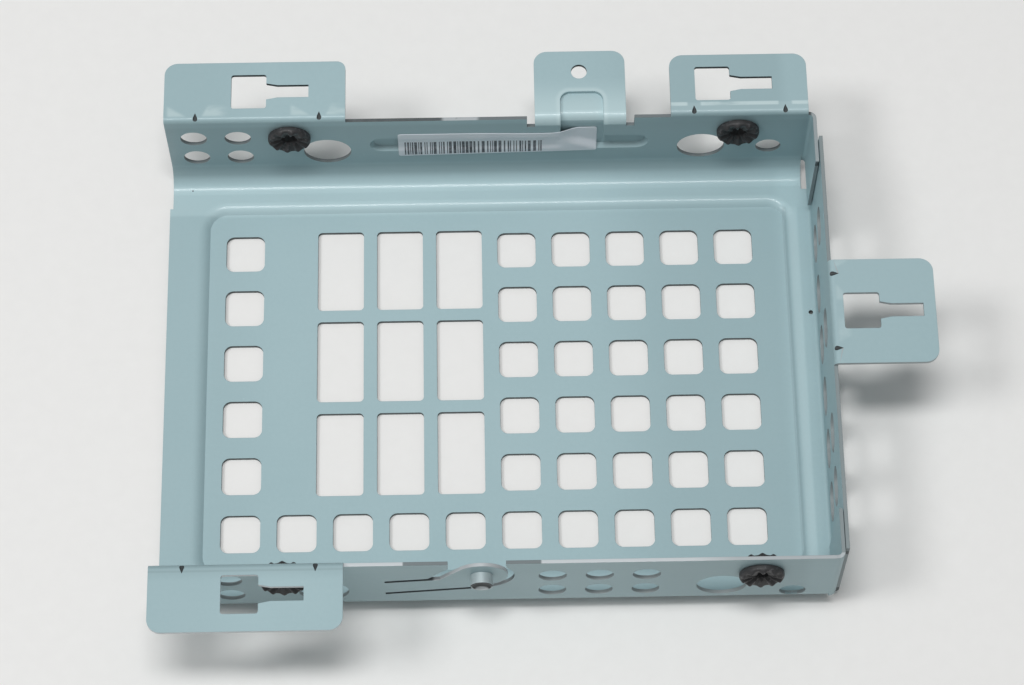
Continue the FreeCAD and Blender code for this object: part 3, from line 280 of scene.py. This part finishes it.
def cut_steel():
    """Sheared edges of the sheet: dark, partly the bare edge's own colour and partly painted shade in holes and slots;
    lighter on edges that face the light, partly bright shear and partly painted highlight.
    """
    t = Tree("cut_steel")
    here = t.place()
    x, y, z = t.xyz()
    grain = t.noise(t.place((500, 500, 2600)), 1.0, 3.0, 0.6)
    torn = t.noise(here, 420.0, 2.0, 0.6)
    edge_colour_and_shade = t.mix(grain, (0.060, 0.072, 0.075, 1), (0.130, 0.150, 0.155, 1))
    plain = t.times(t.ramp(y, 0.0524, 0.0526), t.ramp(z, 0.0259, 0.0262), t.band(x, -0.0030, 0.0420, 0.0020))
    edge_colour_and_shade = t.mix(t.times(plain, 0.8), edge_colour_and_shade, (0.19, 0.22, 0.23, 1))
    edge = t.times(t.ramp(y, -0.0526, -0.0524, 1.0, 0.0), t.ramp(z, 0.0270, 0.0273))
    side = t.times(t.ramp(x, 0.0718, 0.0722), t.ramp(z, 0.0258, 0.0262))
    edge_colour_and_shade = t.mix(t.times(edge, 0.8), edge_colour_and_shade, (0.20, 0.235, 0.245, 1))
    edge_colour_and_shade = t.mix(t.times(side, 0.8), edge_colour_and_shade, (0.28, 0.33, 0.34, 1))
    walls = t.times(t.ramp(t.math("ABSOLUTE", y), 0.0524, 0.0526), t.band(z, 0.0076, 0.0240, 0.0004))
    ends = t.times(t.ramp(x, 0.0718, 0.0722), t.band(z, 0.0042, 0.0240, 0.0004))
    # painted shade: the slots beside the tongue keep the darker colour
    slots = t.times(t.ramp(y, -0.0526, -0.0524, 1.0, 0.0), t.band(x, -0.0280, 0.0050, 0.0010))
    edge_colour_and_shade = t.mix(t.times(walls, t.math("SUBTRACT", 1.0, slots), 0.60), edge_colour_and_shade, (0.23, 0.27, 0.28, 1))
    edge_colour_and_shade = t.mix(t.times(ends, 0.80), edge_colour_and_shade, (0.34, 0.39, 0.40, 1))
    mouths = t.times(t.ramp(y, -0.0526, -0.0524, 1.0, 0.0), t.band(z, 0.0030, 0.0240, 0.0004),
                     t.ramp(x, 0.0695, 0.0700, 1.0, 0.0), t.math("SUBTRACT", 1.0, slots))
    edge_colour_and_shade = t.mix(t.times(mouths, 0.75), edge_colour_and_shade, (0.36, 0.41, 0.42, 1))
    front = t.times(edge, t.math("SUBTRACT", 1.0, t.band(x, -0.0199, 0.0088, 0.0005)),
                    t.ramp(x, 0.0400, 0.0520, 1.0, 0.55))
    rear = t.times(t.ramp(y, 0.0524, 0.0526), t.ramp(z, 0.0259, 0.0262), t.band(x, -0.0103, -0.0036, 0.0012),
                   t.ramp(torn, 0.28, 0.42), 0.8)
    tabs = t.times(t.ramp(z, 0.0279, 0.0280), 0.45)
    under = t.times(t.ramp(z, 0.0168, 0.0174, 1.0, 0.0), t.ramp(x, -0.0050, -0.0040, 1.0, 0.0))
    head = t.times(t.near((-0.0055, -0.0534, 0.0205), 0.0082, 0.0008),
                   t.math("MAXIMUM", t.ramp(z, 0.0259, 0.0262, 1.0, 0.0), t.band(x, -0.0100, 0.0022, 0.0003)),
                   t.math("SUBTRACT", 1.0, under), 0.85)
    lap = t.times(t.band(x, 0.0722, 0.0732, 0.0001), t.ramp(z, 0.0258, 0.0262), t.ramp(y, 0.030, 0.031), 0.25)
    # lighter where the shear is bright, with a painted highlight on edges that face the light
    shear_and_highlight = t.math("MAXIMUM", t.math("MAXIMUM", front, rear), t.math("MAXIMUM", tabs, t.math("MAXIMUM", head, lap)))
    color = t.mix(shear_and_highlight, edge_colour_and_shade, (0.56, 0.60, 0.62, 1))
    rough = t.ramp(shear_and_highlight, 0.0, 1.0, 0.62, 0.34)
    normal = t.bump(grain, 0.18, 0.00006, t.soft_edges(0.00013))
    return t.surface(color, rough, 0.25, normal)


# painted shade in the narrow pits of the darts
def dart_painted_shade():
    t = Tree("dart_painted_shade")
    grain = t.noise(t.place(), 2200.0, 2.0, 0.5)
    color = t.mix(grain, (0.022, 0.028, 0.030, 1), (0.050, 0.060, 0.062, 1))
    return t.surface(color, t.ramp(grain, 0.3, 0.7, 0.60, 0.75), 0.0)


def turned_steel():
    t = Tree("turned_steel")
    grain = t.noise(t.place((1, 1, 1)), 1500.0, 2.0, 0.5)
    lathe = t.noise(t.place((40, 9000, 40)), 1.0, 2.0, 0.6)
    color = t.mix(grain, (0.37, 0.45, 0.47, 1), (0.46, 0.53, 0.54, 1))
    x, y, z = t.xyz()
    dish = t.near((-0.0036, -0.0559, 0.0208), 0.00206, 0.00008)
    lip = t.ramp(y, -0.05624, -0.05618, 1.0, 0.0)
    # painted light on the end dish, with painted shade over the upper part of the dish and of the end rim
    color = t.mix(dish, color, (0.66, 0.72, 0.74, 1))
    dark = t.math("MAXIMUM", t.times(dish, t.ramp(z, 0.0191, 0.0196)), t.times(lip, t.ramp(z, 0.0204, 0.0212)))
    color = t.mix(t.times(dark, 0.94), color, (0.02, 0.025, 0.027, 1))
    rough = t.ramp(lathe, 0.3, 0.7, 0.38, 0.52)
    normal = t.bump(lathe, 0.15, 0.00003)
    return t.surface(color, rough, 0.30, normal)


def black_rubber():
    t = Tree("black_rubber")
    grain = t.noise(t.place((1, 1, 1)), 2400.0, 3.0, 0.6)
    patch = t.noise(t.place((1, 1, 1)), 300.0, 2.0, 0.5)
    color = t.mix(patch, (0.022, 0.022, 0.023, 1), (0.038, 0.038, 0.040, 1))
    # fine lighter specks scattered over the rubber
    light_specks = t.ramp(t.noise(t.place(), 1300.0, 2.0, 0.6), 0.60, 0.68)
    color = t.mix(t.times(light_specks, 0.6), color, (0.11, 0.11, 0.115, 1))
    rough = t.ramp(grain, 0.3, 0.7, 0.42, 0.60)
    normal = t.bump(grain, 0.25, 0.00004)
    return t.surface(color, rough, 0.0, normal, Specular_IOR_Level=0.45)


def label_paper():
    t = Tree("label_paper")
    fibre = t.noise(t.place((1, 1, 1)), 1800.0, 3.0, 0.6)
    stain = t.noise(t.place((1, 1, 1)), 120.0, 3.0, 0.55)
    color = t.mix(t.math("ADD", t.times(fibre, 0.4), t.times(stain, 0.6)), (0.63, 0.68, 0.73, 1), (0.76, 0.80, 0.84, 1))
    rough = t.ramp(fibre, 0.3, 0.7, 0.42, 0.58)
    normal = t.bump(fibre, 0.12, 0.00003)
    return t.surface(color, rough, 0.0, normal)


def label_ink():
    t = Tree("label_ink")
    fade = t.noise(t.place((1, 1, 1)), 700.0, 3.0, 0.6)
    color = t.mix(t.ramp(fade, 0.35, 0.75), (0.045, 0.05, 0.06, 1), (0.22, 0.235, 0.26, 1))
    rough = t.ramp(fade, 0.3, 0.7, 0.45, 0.60)
    return t.surface(color, rough, 0.0)


def pale_floor():
    t = Tree("pale_floor")
    fine = t.noise(t.place((1, 1, 1)), 260.0, 3.0, 0.6)
    color = t.mix(fine, (0.83, 0.825, 0.81, 1), (0.87, 0.865, 0.85, 1))
    return t.surface(color, 0.85, 0.0)


steel = plated_steel()
sheared = cut_steel()
dart_shade = dart_painted_shade()
bright = turned_steel()
rubber = black_rubber()
paper = label_paper()
ink = label_ink()


def dress(obj, *mats):
    obj.data.materials.clear()
    for mat in mats:
        obj.data.materials.append(mat)


SLOTS = {"tray": steel, "latch_finger": steel, "latch_stud": bright, "label": paper}
for name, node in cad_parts.items():
    dress(node, SLOTS.get(name, rubber))


# ------------------------------------------------------------------ mesh helpers
def piece(name, mesh, *mats):
    obj = bpy.data.objects.new(name, mesh)
    scene.collection.objects.link(obj)
    dress(obj, *mats)
    return obj


def mesh_from(name, verts, faces, smooth=True):
    mesh = bpy.data.meshes.new(name)
    mesh.from_pydata([tuple(v) for v in verts], [], faces)
    mesh.validate()
    if smooth:
        mesh.polygons.foreach_set("use_smooth", [True] * len(mesh.polygons))
    mesh.update()
    return mesh


def mark_cut(mesh, gauge=0.8 * MM):
    """Material 1 on faces that look along the sheet instead of through it."""
    co = [v.co.copy() for v in mesh.vertices]
    tree = BVHTree.FromPolygons(co, [tuple(p.vertices) for p in mesh.polygons])
    index = []
    for p in mesh.polygons:
        hit = tree.ray_cast(p.center - p.normal * 2e-6, -p.normal, 4 * gauge)
        index.append(1 if hit[0] is None or hit[3] > 1.5 * gauge else 0)
    mesh.polygons.foreach_set("material_index", index)


def soften(points, radius, steps=4, hold=0.06):
    """Open outline (r, h) with its inner corners rounded; radius is one value or one for each point."""
    out = [points[0]]
    for i in range(1, len(points) - 1):
        r = radius[i] if isinstance(radius, (list, tuple)) else radius
        p, a, b = (np.array(q, float) for q in (points[i], points[i - 1], points[i + 1]))
        u, v = (a - p), (b - p)
        lu, lv = np.linalg.norm(u), np.linalg.norm(v)
        u, v = u / lu, v / lv
        half = math.acos(max(-1, min(1, float(u @ v)))) / 2
        if r <= 0 or half > math.radians(88):
            out.append(tuple(p))
            continue
        cut = min(r / math.tan(half), 0.42 * lu, 0.42 * lv)
        r = cut * math.tan(half)
        bis = (u + v) / np.linalg.norm(u + v)
        c = p + bis * (r / math.sin(half))
        start, end = p + u * cut, p + v * cut
        if lu - cut > 2 * hold:
            out.append(tuple(start + u * hold))
        for k in range(steps + 1):
            f = k / steps
            d = (start - c) * math.sin((1 - f) * (math.pi - 2 * half)) + (end - c) * math.sin(f * (math.pi - 2 * half))
            d /= math.sin(math.pi - 2 * half)
            out.append(tuple(c + d))
        if lv - cut > 2 * hold:
            out.append(tuple(end + v * hold))
    out.append(points[-1])
    return out


def lathe(name, outline, centre, outward, steps):
    """Turned solid: outline from axis to axis as (r, h) in mm, h along outward (+1 or -1 on Y)."""
    cx, cy, cz = centre
    verts, rings, faces = [], [], []
    for r, h in outline:
        if r < 1e-6:
            rings.append([len(verts)])
            verts.append((cx, cy + outward * h, cz))
        else:
            rings.append(list(range(len(verts), len(verts) + steps)))
            for k in range(steps):
                a = 2 * math.pi * k / steps
                verts.append((cx + r * math.sin(a), cy + outward * h, cz - r * math.cos(a)))
    for a, b in zip(rings, rings[1:]):
        for k in range(steps):
            n = (k + 1) % steps
            if len(a) == 1:
                faces.append((a[0], b[n], b[k]))
            elif len(b) == 1:
                faces.append((a[k], a[n], b[0]))
            else:
                faces.append((a[k], a[n], b[n], b[k]))
    if outward > 0:
        faces = [tuple(reversed(f)) for f in faces]
    return mesh_from(name, np.array(verts) * MM, faces)


def facing_out(mesh):
    bm = bmesh.new()
    bm.from_mesh(mesh)
    bmesh.ops.recalc_face_normals(bm, faces=bm.faces)
    bm.to_mesh(mesh)
    bm.free()
    return mesh


# ------------------------------------------------------------------ tray
tray_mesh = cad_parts["tray"].data.copy()
tray_mesh.name = "tray_sheet"
tray = piece("tray_sheet", tray_mesh, steel, sheared, dart_shade)
mark_cut(tray_mesh)


def in_dart(c):
    """True on the faces of a dart's cone; c in mm."""
    lean = math.radians(-12.1)
    for (x, y, z), (ax, ay) in DARTS:
        d = c - Vector((x, y, z))
        along = (d.x * ax + d.y * ay) * math.cos(lean) + d.z * math.sin(lean)
        if 0 < along < 2.05:
            off = math.sqrt(max(0.0, d.length_squared - along ** 2))
            if off < 0.95 - 0.93 * along / 2.046 + 0.02:
                return True
    return False


# the pressed rib is plated all over, the darts get painted shade
for p in tray_mesh.polygons:
    c = p.center / MM
    if 15.0 < c.x < 26.0 and 52.9 < c.y < 60.8 and 15.0 < c.z < 25.6:
        p.material_index = 0
    elif c.z > 26.0 and in_dart(c):
        p.material_index = 2
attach(tray, "tray")
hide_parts("tray")


# ------------------------------------------------------------------ latch tongue and stud
def tongue():
    bm = bmesh.new()
    bm.from_mesh(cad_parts["latch_finger"].data)
    bmesh.ops.remove_doubles(bm, verts=bm.verts, dist=1e-6)
    # the root runs on into the wall, so that the sheet shows no gap at the bending line
    for v in bm.verts:
        if v.co.x < -24.3005 * MM:
            across = v.co.y + 53.4 * MM
            side = -1 if across < 0 else 1
            if abs(across) >= 0.25 * MM:
                v.co.x, v.co.y = -24.65 * MM, (-53.4 + side * 0.404) * MM
            else:
                v.co.x, v.co.y = -25.1 * MM, (-53.4 + side * 0.33) * MM
    bmesh.ops.remove_doubles(bm, verts=bm.verts, dist=1e-6)
    bmesh.ops.dissolve_degenerate(bm, dist=1e-7, edges=bm.edges)
    for k in range(22):
        cut = Vector((-24.2 + 0.5 * k, 0, 0)) * MM
        bmesh.ops.bisect_plane(bm, geom=bm.verts[:] + bm.edges[:] + bm.faces[:], plane_co=cut, plane_no=(1, 0, 0))
    for f in bm.faces:
        f.smooth = True
    for e in bm.edges:
        e.smooth = len(e.link_faces) == 2 and e.calc_face_angle(0) < math.radians(35)
    mesh = bpy.data.meshes.new("latch_tongue")
    bm.to_mesh(mesh)
    bm.free()
    if "custom_normal" in mesh.attributes:
        mesh.attributes.remove(mesh.attributes["custom_normal"])
    obj = piece("latch_tongue", mesh, steel, sheared)
    mark_cut(mesh)
    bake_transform(obj)
    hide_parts("latch_finger")


def stud():
    line = soften([(0, -1.0), (1.94, -1.0), (2.7, -0.4), (1.8, -0.4), (1.8, 0.4), (2.4, 0.4), (2.4, 2.9), (2.05, 2.9)],
                  [0, 0.25, 0.06, 0, 0, 0.06, 0.15, 0])
    dish = [(2.0 * math.cos(a), 2.9 - 0.85 * math.sin(a)) for a in np.linspace(0.08, math.pi / 2, 10)]
    dish[-1] = (0.0, 2.05)
    obj = piece("latch_pin", facing_out(lathe("latch_pin", line + dish, (-3.6, -53.4, 20.8), -1, 96)), bright)
    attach(obj, "latch")
    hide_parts("latch_stud")


tongue()
stud()


# ------------------------------------------------------------------ grommets
def smooth_step(x, a, b):
    f = np.clip((x - a) / (b - a), 0, 1)
    return f * f * (3 - 2 * f)


def grommet(node, x, y, phase):
    """Rubber ring with ten rounded ribs on each face; phase in degrees from the lowest point towards +X."""
    steps, ribs = 240, 10
    pitch = 2 * math.pi / ribs
    face = [(1.75, 0.0), (1.75, 0.5), (1.75, 0.85), (1.78, 0.98), (1.86, 1.08)]
    face += [(r, 1.12 + 0.34 * (r - 1.95)) for r in np.arange(1.95, 3.96, 0.1)]
    face += [(4.05, 1.81), (4.15, 1.835), (4.25, 1.845), (4.35, 1.84), (4.45, 1.815), (4.55, 1.77), (4.64, 1.70),
             (4.72, 1.60), (4.78, 1.48), (4.82, 1.34), (4.83, 1.18)]
    face += [(4.83, 0.80), (4.81, 0.62), (4.74, 0.49), (4.62, 0.42), (4.45, 0.40), (3.7, 0.40), (3.6, 0.40), (3.6, 0.33)]
    section = [(r, h, 1) for r, h in face] + [(r, h, -1) for r, h in reversed(face[1:])]
    verts, faces = [], []
    angle = np.linspace(0, 2 * math.pi, steps, endpoint=False)
    turn = (angle - math.radians(phase)) % pitch
    turn = np.minimum(turn, pitch - turn)
    for r, h, side in section:
        rise = 0.0
        if h > 1.05 or (r < 2.0 and h > 0.9):
            across = np.cos(np.clip(turn / math.radians(15.5), 0, 1) * math.pi / 2) ** 2
            along = smooth_step(r, 1.76, 2.25) * (1 - 0.85 * smooth_step(r, 4.05, 4.80))
            rise = 0.58 * across * along
        yy = y + side * (h + rise)
        verts.append(np.stack([x + r * np.sin(angle), yy * np.ones(steps), 20.1 - r * np.cos(angle)], 1))
    count = len(section)
    verts = np.concatenate(verts) * MM
    for i in range(count):
        j = (i + 1) % count
        for k in range(steps):
            n = (k + 1) % steps
            faces.append((i * steps + k, i * steps + n, j * steps + n, j * steps + k))
    obj = piece(node + "_rubber", facing_out(mesh_from(node + "_rubber", verts, faces)), rubber)
    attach(obj, "tray")
    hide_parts(node)


grommet("grommet_rear_left", -45.7, 53.4, -10)
grommet("grommet_rear_right", 55.9, 53.4, 5)
grommet("grommet_front_left", -45.7, -53.4, 0)
grommet("grommet_front_right", 55.9, -53.4, 0)


# ------------------------------------------------------------------ label
def label():
    """Paper strip stuck over the bead, pressed into the rib at its right end, with plain bars."""
    left, far = -21.2, 24.0
    rng = random.Random(7)
    bars, x = [], -19.8
    while x < 12.0:
        w = rng.choice((0.22, 0.22, 0.34, 0.45, 0.66))
        bars.append((x, x + w))
        x += w + rng.choice((0.20, 0.26, 0.36, 0.55))
    xs = sorted(set(round(v, 4) for v in list(np.linspace(left, far, 150)) + [left + 0.1, left + 0.3, far - 0.1, far - 0.3]
                    + [e for bar in bars for e in bar]))
    ts = [0.0, 0.015, 0.05] + list(np.linspace(0.09, 0.57, 13)) + list(np.linspace(0.62, 0.97, 9)) + [0.985, 1.0]
    round_r = 0.6

    def low(x):
        return 10.30 + (x + 17.5) * 0.0325

    def high(x):
        return 20.30 - 0.45 * float(smooth_step(x, -5.0, 11.0)) + 1.0 * float(smooth_step(x, 12.0, 20.5))

    def trim(x):
        d = min(x - left, far - x)
        return 0.0 if d >= round_r else round_r - math.sqrt(max(0.0, round_r ** 2 - (round_r - d) ** 2))

    def sink(x, z):
        groove = 0.32 * smooth_step(z, 12.4, 14.2) * (1 - smooth_step(z, 16.4, 18.2))
        # the fold runs down to the right, and above it the paper lies in the rib
        fold = ((x - 15.8) * 3.6 + (z - 16.0) * 7.6) / math.hypot(3.6, 7.6)
        rib = 0.92 * smooth_step(x, 14.6, 20.2) * smooth_step(fold, -0.4, 2.6)
        return max(float(groove) * float(1 - smooth_step(x, 14.0, 17.0)), float(rib))

    verts, faces, index = [], [], []
    for back in (0, 1):
        for x in xs:
            cut = trim(x)
            a, b = low(x) + cut, high(x) - cut
            for t in ts:
                z = a + (b - a) * t
                wave = 0.03 * math.sin(x * 0.55) * math.sin(math.pi * t)
                verts.append((x, 52.86 + wave + sink(x, z) + 0.11 * back, z))
    nx, nt = len(xs), len(ts)

    def at(back, i, j):
        return back * nx * nt + i * nt + j

    dark = [any(a - 1e-6 <= x0 and x1 <= b + 1e-6 for a, b in bars) for x0, x1 in zip(xs, xs[1:])]
    for i in range(nx - 1):
        for j in range(nt - 1):
            faces.append((at(0, i, j), at(0, i + 1, j), at(0, i + 1, j + 1), at(0, i, j + 1)))
            index.append(1 if dark[i] and 0.045 < ts[j] < 0.565 else 0)
            faces.append((at(1, i, j), at(1, i, j + 1), at(1, i + 1, j + 1), at(1, i + 1, j)))
            index.append(0)
    for i in range(nx - 1):
        for j in (0, nt - 1):
            faces.append((at(0, i, j), at(1, i, j), at(1, i + 1, j), at(0, i + 1, j)))
            index.append(0)
    for j in range(nt - 1):
        for i in (0, nx - 1):
            faces.append((at(0, i, j), at(0, i, j + 1), at(1, i, j + 1), at(1, i, j)))
            index.append(0)
    mesh = mesh_from("label_strip", np.array(verts) * MM, faces)
    obj = piece("label_strip", facing_out(mesh), paper, ink)
    mesh.polygons.foreach_set("material_index", index)
    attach(obj, "tray")
    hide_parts("label")


label()


# ------------------------------------------------------------------ floor and light
floor_mesh = bpy.data.meshes.new("floor")
bm = bmesh.new()
bmesh.ops.create_grid(bm, x_segments=2, y_segments=2, size=3.0)
bm.to_mesh(floor_mesh)
bm.free()
floor = bpy.data.objects.new("floor", floor_mesh)
scene.collection.objects.link(floor)
floor.location = (0, 0, -0.0002)
dress(floor, pale_floor())


def area(name, toward, distance, size, power):
    """Oval soft light, its long side along X."""
    data = bpy.data.lights.new(name, "AREA")
    data.shape = "ELLIPSE"
    data.size, data.size_y = size
    data.energy = power
    obj = bpy.data.objects.new(name, data)
    scene.collection.objects.link(obj)
    d = Vector(toward).normalized()
    across = (Vector((1, 0, 0)) - d * d.x).normalized()
    along = d.cross(across)
    obj.location = d * distance
    obj.rotation_mode = "QUATERNION"
    obj.rotation_quaternion = Matrix((across, along, d)).transposed().to_quaternion()
    return obj


area("key", (-0.06, -0.05, 0.997), 2.0, (0.90, 0.36), 18.0)
area("left", (-0.55, -0.12, 0.83), 1.8, (0.50, 0.50), 8.0)

# studio world: lighter overhead than at the horizon
world = bpy.data.worlds.new("studio")
world.use_nodes = True
tree = world.node_tree
sky = tree.nodes["Background"]
sky.inputs[0].default_value = (0.97, 0.985, 1.0, 1)
coord = tree.nodes.new("ShaderNodeTexCoord")
parts = tree.nodes.new("ShaderNodeSeparateXYZ")
tree.links.new(coord.outputs["Generated"], parts.inputs[0])
level = tree.nodes.new("ShaderNodeMapRange")
for i, value in enumerate((0.0, 1.0, 0.06, 0.40)):
    level.inputs[i + 1].default_value = value
tree.links.new(parts.outputs[2], level.inputs[0])
tree.links.new(level.outputs[0], sky.inputs[1])
scene.world = world
